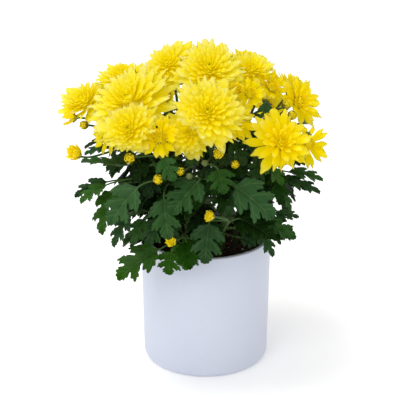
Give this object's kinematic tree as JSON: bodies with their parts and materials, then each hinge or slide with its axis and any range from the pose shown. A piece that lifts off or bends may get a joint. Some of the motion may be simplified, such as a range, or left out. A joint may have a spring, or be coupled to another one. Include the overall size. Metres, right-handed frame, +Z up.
{
  "type": "pot chrysanthemum",
  "caption": "Pot chrysanthemum with a dense head of yellow double blooms and buds over lobed dark green leaves, in soil in a plain white glazed cylindrical pot.",
  "frame": {"origin": "centre of the pot's flat underside, on the surface that it stands on", "axes": "+Z up along the pot's axis, -Y towards the side that the picture shows, +X to the viewer's right"},
  "size_m": [0.2624, 0.2461, 0.3403],
  "materials": {
    "glazed_pot": "white glazed ceramic with a soft satin sheen",
    "soil": "moist dark potting soil, rough",
    "leaf_green": "dark green leaf, faintly satin",
    "petal_yellow": "bright lemon yellow petal, velvety",
    "tie_green": "thin dark green cord"
  },
  "bodies": {
    "root": {"bloom_back_left": "petal_yellow", "bloom_back_left_low": "petal_yellow", "bloom_back_low": "petal_yellow", "bloom_back_right": "petal_yellow", "bloom_back_right_low": "petal_yellow", "bloom_back_right_top": "petal_yellow", "bloom_back_top": "petal_yellow", "bloom_front_centre": "petal_yellow", "bloom_front_low": "petal_yellow", "bloom_front_right_back": "petal_yellow", "bloom_front_right_upper": "petal_yellow", "bloom_front_small": "petal_yellow", "bloom_left": "petal_yellow", "bloom_left_back": "petal_yellow", "bloom_left_lower": "petal_yellow", "bloom_left_side": "petal_yellow", "bloom_left_under": "petal_yellow", "bloom_left_upper": "petal_yellow", "bloom_right_front": "petal_yellow", "bloom_right_high": "petal_yellow", "bloom_right_low": "petal_yellow", "bloom_right_mid": "petal_yellow", "bloom_top_centre": "petal_yellow", "bloom_top_left": "petal_yellow", "bloom_top_left_back": "petal_yellow", "bloom_top_right": "petal_yellow", "bloom_top_small": "petal_yellow", "bud_back_left": "petal_yellow", "bud_back_right": "petal_yellow", "bud_front": "petal_yellow", "bud_front_left": "petal_yellow", "bud_front_right": "petal_yellow", "bud_left_front": "petal_yellow", "bud_left_open": "petal_yellow", "bud_left_side": "petal_yellow", "bud_low_front": "petal_yellow", "bud_low_left": "petal_yellow", "bud_right_a": "petal_yellow", "bud_right_b": "petal_yellow", "bud_right_c": "petal_yellow", "bud_right_low": "petal_yellow", "bud_top_left": "petal_yellow", "bud_top_right": "petal_yellow", "bud_under_centre": "petal_yellow", "leafy_stem_back_left": "leaf_green", "leafy_stem_back_right": "leaf_green", "leafy_stem_front_left": "leaf_green", "leafy_stem_front_right": "leaf_green", "leafy_stem_left": "leaf_green", "leafy_stem_right": "leaf_green", "pot": "glazed_pot", "soil": "soil", "tie": "tie_green"}
  },
  "joints": []
}
